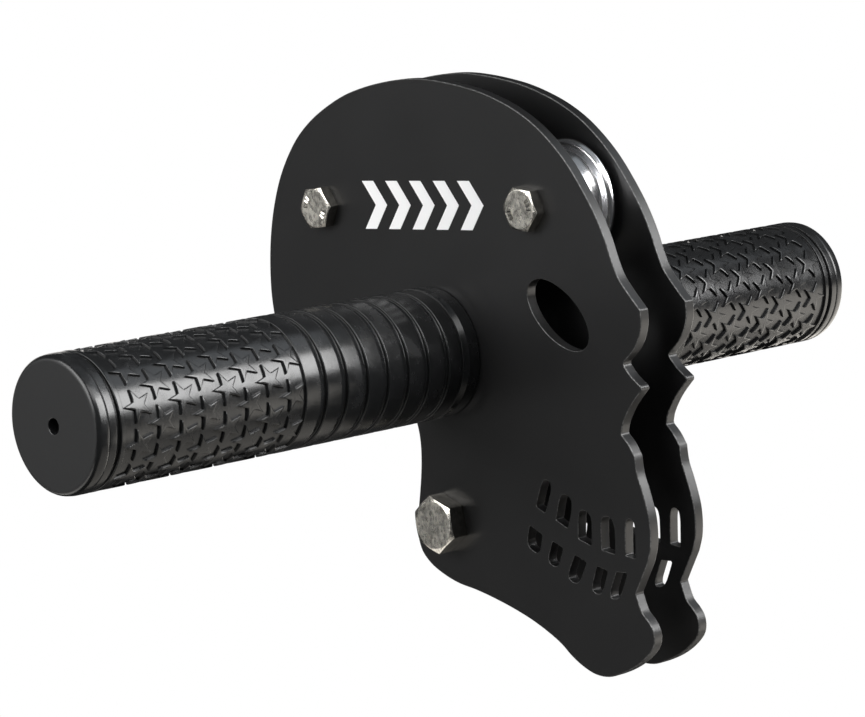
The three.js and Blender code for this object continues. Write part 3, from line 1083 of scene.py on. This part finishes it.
def bearing_balls(wheel, settings):
    """The ball set of one bearing as round balls in the places of their nodes."""
    bm = bmesh.new()
    nodes = sorted(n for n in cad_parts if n.startswith(wheel + "_bearing_ball_"))
    for node in nodes:
        bmesh.ops.create_icosphere(
            bm, subdivisions=3, radius=settings.ball, matrix=Matrix.Translation(centre(node))
        )
    piece = mesh_object(wheel + "_balls", bm, "chrome_" + wheel)
    stand_for(piece, wheel + "_ball_set", "bearing", *nodes)


# ------------------------------------------------------------------ operators
class TROLLEY_OT_stage(bpy.types.Operator):
    """Sets up the pale floor and surround, the soft lights and the camera"""

    bl_idname = "trolley.stage"
    bl_label = "Stage"

    # The camera stands in front of the skull's right cheek, tipped a little to its left.
    CAMERA_PLACE = (0.68267, -0.64991, 0.08908)
    CAMERA_TURN = (46.874, 7.079, -4.557)
    CAMERA_LENS = 152.785
    FLOOR_DROP = 0.16
    SURROUND_RADIUS = 12
    # Where each panel stands, from the middle of the object: its bearing from +X towards +Y and its
    # height above the horizon in degrees, its distance, its width and height, and its tint.
    PANELS = {
        "side": (28.5, 24, 1.2, 0.83, 0.62, (1, 1, 1)),
        "key": (259, 25, 1.2, 1.12, 0.75, (1, 1, 1)),
        "fill": (222, 4, 1.2, 1.3, 1.0, (1, 1, 0.98)),
        "table": (80, -22, 1.2, 2.0, 0.62, (1, 0.95, 0.87)),
        "near_table": (230, -43, 1.2, 1.4, 0.45, (1, 0.97, 0.93)),
        "bottom": (60, -62, 1.2, 1.6, 1.0, (1, 0.95, 0.87)),
        "rear": (160, 0, 1.2, 0.64, 0.64, (1, 0.97, 0.93)),
        "front": (350, 45, 1.2, 1.4, 0.5, (1, 1, 1)),
        "high": (50, 50, 1.2, 0.9, 0.4, (0.88, 0.94, 1)),
        "top": (0, 80, 1.2, 1.2, 0.9, (0.85, 0.93, 1)),
    }

    def camera(self, scene):
        bearing, height, roll = (math.radians(a) for a in self.CAMERA_TURN)
        back = Vector((
            math.sin(bearing) * math.cos(height),
            -math.cos(bearing) * math.cos(height),
            math.sin(height),
        ))
        right = Vector((0, 0, 1)).cross(back).normalized()
        up = back.cross(right)
        axes = Matrix((
            right * math.cos(roll) + up * math.sin(roll),
            up * math.cos(roll) - right * math.sin(roll),
            back,
        )).transposed()
        data = bpy.data.cameras.new("camera")
        data.lens = self.CAMERA_LENS
        data.sensor_width = 36
        data.clip_start, data.clip_end = 0.01, 100
        camera = bpy.data.objects.new("camera", data)
        camera.matrix_world = Matrix.Translation(self.CAMERA_PLACE) @ axes.to_4x4()
        scene.collection.objects.link(camera)
        scene.camera = camera

    def panel(self, scene, name, power, middle):
        bearing, height, distance, width, tall, tint = self.PANELS[name]
        bearing, height = math.radians(bearing), math.radians(height)
        out = Vector((
            math.cos(bearing) * math.cos(height),
            math.sin(bearing) * math.cos(height),
            math.sin(height),
        ))
        data = bpy.data.lights.new(name + "_light", "AREA")
        data.shape = "RECTANGLE"
        data.size, data.size_y = width, tall
        data.energy = power
        data.color = tint
        light = bpy.data.objects.new(name + "_light", data)
        facing = out.to_track_quat("Z", "Y")
        light.matrix_world = Matrix.LocRotScale(middle + out * distance, facing, None)
        light.visible_camera = False
        scene.collection.objects.link(light)

    def pale(self, name, bm):
        """A pale stage surface that the lights don't mark and that the object doesn't reflect."""
        mesh = bpy.data.meshes.new(name)
        bm.to_mesh(mesh)
        bm.free()
        tone = bpy.data.materials.new(name)
        tone.use_nodes = True
        tone.node_tree.nodes.clear()
        glow = tone.node_tree.nodes.new("ShaderNodeEmission")
        out = tone.node_tree.nodes.new("ShaderNodeOutputMaterial")
        tone.node_tree.links.new(glow.outputs[0], out.inputs["Surface"])
        mesh.materials.append(tone)
        piece = bpy.data.objects.new(name, mesh)
        for ray in ("diffuse", "glossy", "transmission", "shadow"):
            setattr(piece, "visible_" + ray, False)
        bpy.context.scene.collection.objects.link(piece)

    def execute(self, context):
        scene = context.scene
        settings = scene.trolley_stage
        low, high = CAD_BOX
        middle = (low + high) / 2
        self.camera(scene)
        for name in self.PANELS:
            self.panel(scene, name, getattr(settings, name), middle)
        floor = bmesh.new()
        bmesh.ops.create_circle(
            floor, cap_ends=True, segments=96, radius=self.SURROUND_RADIUS,
            matrix=Matrix.Translation((0, 0, low.z - self.FLOOR_DROP)),
        )
        self.pale("floor", floor)
        surround = bmesh.new()
        bmesh.ops.create_icosphere(surround, subdivisions=4, radius=self.SURROUND_RADIUS)
        self.pale("surround", surround)
        world = bpy.data.worlds.new("studio")
        world.use_nodes = True
        sky = world.node_tree.nodes["Background"]
        sky.inputs["Color"].default_value = (0.93, 0.96, 1, 1)
        sky.inputs["Strength"].default_value = settings.surround
        scene.world = world
        scene.view_settings.view_transform = "Standard"
        return {"FINISHED"}


class TROLLEY_OT_side_plates(bpy.types.Operator):
    """Cuts the two skull-shaped side plates, with coated edges"""

    bl_idname = "trolley.side_plates"
    bl_label = "Side plates"

    def execute(self, context):
        for side in SIDES:
            side_plate(side, context.scene.trolley_plates)
        return {"FINISHED"}


class TROLLEY_OT_print(bpy.types.Operator):
    """Prints a row of chevrons on the right plate, between the axle bolts"""

    bl_idname = "trolley.print"
    bl_label = "Printed chevrons"

    def execute(self, context):
        settings = context.scene.trolley_plates
        face = span("right_side_plate")[0]
        front, rear = axis_of("front_sheave"), axis_of("rear_sheave")
        middle = (front + rear) / 2
        height = middle.z + settings.print_height
        half = settings.chevron_height / 2
        stroke, reach = settings.chevron_stroke, settings.chevron_reach
        front_half = [(stroke, -half), (stroke + reach, 0), (stroke, half)]
        shape = [(0, -half), *front_half, (0, half), (reach, 0)]
        row = settings.chevron_pitch * (settings.chevrons - 1) + stroke + reach
        bm = bmesh.new()
        for i in range(settings.chevrons):
            start = middle.x - row / 2 + i * settings.chevron_pitch
            rings = []
            for y in (face + 0.01 * MM, face - settings.print_thickness):
                rings.append([bm.verts.new((start + x, y, height + z)) for x, z in shape])
            bridge(bm, *rings)
            for ring in rings:
                bm.faces.new((ring[0], ring[1], ring[2], ring[5]))
                bm.faces.new((ring[2], ring[3], ring[4], ring[5]))
        piece = crisp(mesh_object("printed_chevrons", bm, "printed_ink"), 20)
        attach(piece, "frame")
        return {"FINISHED"}


class TROLLEY_OT_handlebar(bpy.types.Operator):
    """Gives the handlebar tube its plating, and makes the spacers between the plates"""

    bl_idname = "trolley.handlebar"
    bl_label = "Handlebar and spacers"

    def execute(self, context):
        settings = context.scene.trolley_fasteners
        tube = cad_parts["handlebar_tube"]
        tube.data.materials.clear()
        tube.data.materials.append(material("zinc_plate"))
        gap = settings.clearance
        sleeve = radius_of("handlebar_tube") + gap
        rings = [("handlebar_spacer", sleeve), ("hanger_spacer", settings.hanger_bolt + gap)]
        for wheel in WHEELS:
            for side in SIDES:
                rings.append((f"{wheel}_axle_{side}_bush", settings.axle_bolt + gap))
        for node, bore in rings:
            piece = turned_ring(node + "_sleeve", node, bore, "zinc_plate")
            stand_for(piece, "frame", "zinc", node)
        return {"FINISHED"}


class TROLLEY_OT_grips(bpy.types.Operator):
    """Moulds the two rubber grips, with ribs and raised stars"""

    bl_idname = "trolley.grips"
    bl_label = "Grips"

    def execute(self, context):
        for side in SIDES:
            grip(side, context.scene.trolley_grips)
        return {"FINISHED"}


class TROLLEY_OT_fasteners(bpy.types.Operator):
    """Makes the bolts, washers and lock nuts"""

    bl_idname = "trolley.fasteners"
    bl_label = "Fasteners"

    def execute(self, context):
        settings = context.scene.trolley_fasteners
        axle = (settings.axle_bolt, settings.axle_flats, settings.axle_pitch)
        hanger = (settings.hanger_bolt, settings.hanger_flats, settings.hanger_pitch)
        sizes = {"front_axle": axle, "rear_axle": axle, "hanger": hanger}
        for name, (shank, flats, pitch) in sizes.items():
            bolt(name + "_hex_bolt", name + "_bolt", shank, flats, pitch, settings.thread)
            washer(name + "_plain_washer", name + "_washer", shank + settings.clearance)
            lock_nut(name + "_lock_nut", name + "_nut", name + "_nut_insert", shank, flats)
        return {"FINISHED"}


class TROLLEY_OT_sheaves(bpy.types.Operator):
    """Turns the two cable sheaves"""

    bl_idname = "trolley.sheaves"
    bl_label = "Sheaves"

    def execute(self, context):
        settings = context.scene.trolley_wheels
        for wheel in WHEELS:
            node = wheel + "_sheave"
            half = span(node)[1]
            bore = radius_of(wheel + "_bearing_outer_race") + 0.05 * MM
            profile = sheave_profile(settings, radius_of(node), half, bore)
            piece = turned(wheel + "_cable_sheave", profile, axis_of(node), "chrome_" + wheel, 144)
            stand_for(piece, wheel + "_wheel", "polished", node)
        return {"FINISHED"}


class TROLLEY_OT_bearings(bpy.types.Operator):
    """Makes the races, seals and balls of the two ball bearings, and gives their imported cages nylon"""

    bl_idname = "trolley.bearings"
    bl_label = "Bearings"

    def execute(self, context):
        settings = context.scene.trolley_wheels
        for wheel in WHEELS:
            bearing_race(wheel, "outer", settings)
            bearing_race(wheel, "inner", settings)
            for side in SIDES:
                bearing_seal(wheel, side, settings)
            bearing_balls(wheel, settings)
            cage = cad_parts[wheel + "_bearing_cage"]
            cage.data.materials.clear()
            cage.data.materials.append(material("moulded_nylon"))
        return {"FINISHED"}


STEPS = (
    TROLLEY_OT_stage,
    TROLLEY_OT_side_plates,
    TROLLEY_OT_print,
    TROLLEY_OT_handlebar,
    TROLLEY_OT_grips,
    TROLLEY_OT_fasteners,
    TROLLEY_OT_sheaves,
    TROLLEY_OT_bearings,
)

SETTINGS = {
    "trolley_plates": PlateSettings,
    "trolley_grips": GripSettings,
    "trolley_fasteners": FastenerSettings,
    "trolley_wheels": WheelSettings,
    "trolley_finish": FinishSettings,
    "trolley_stage": StageSettings,
}


class TROLLEY_PT_sidebar(bpy.types.Panel):
    """Lists the trolley's pieces, each with its button"""

    bl_label = "Zip Line Trolley"
    bl_idname = "TROLLEY_PT_sidebar"
    bl_space_type = "VIEW_3D"
    bl_region_type = "UI"
    bl_category = "Trolley"

    def draw(self, context):
        for step in STEPS:
            self.layout.operator(step.bl_idname)


CLASSES = (*SETTINGS.values(), *STEPS, TROLLEY_PT_sidebar)


def register():
    for cls in CLASSES:
        bpy.utils.register_class(cls)
    for name, group in SETTINGS.items():
        setattr(bpy.types.Scene, name, PointerProperty(type=group))


def unregister():
    for name in SETTINGS:
        delattr(bpy.types.Scene, name)
    for cls in reversed(CLASSES):
        bpy.utils.unregister_class(cls)


def main():
    register()
    for step in STEPS:
        group, name = step.bl_idname.split(".")
        getattr(getattr(bpy.ops, group), name)()


if __name__ == "__main__":
    main()
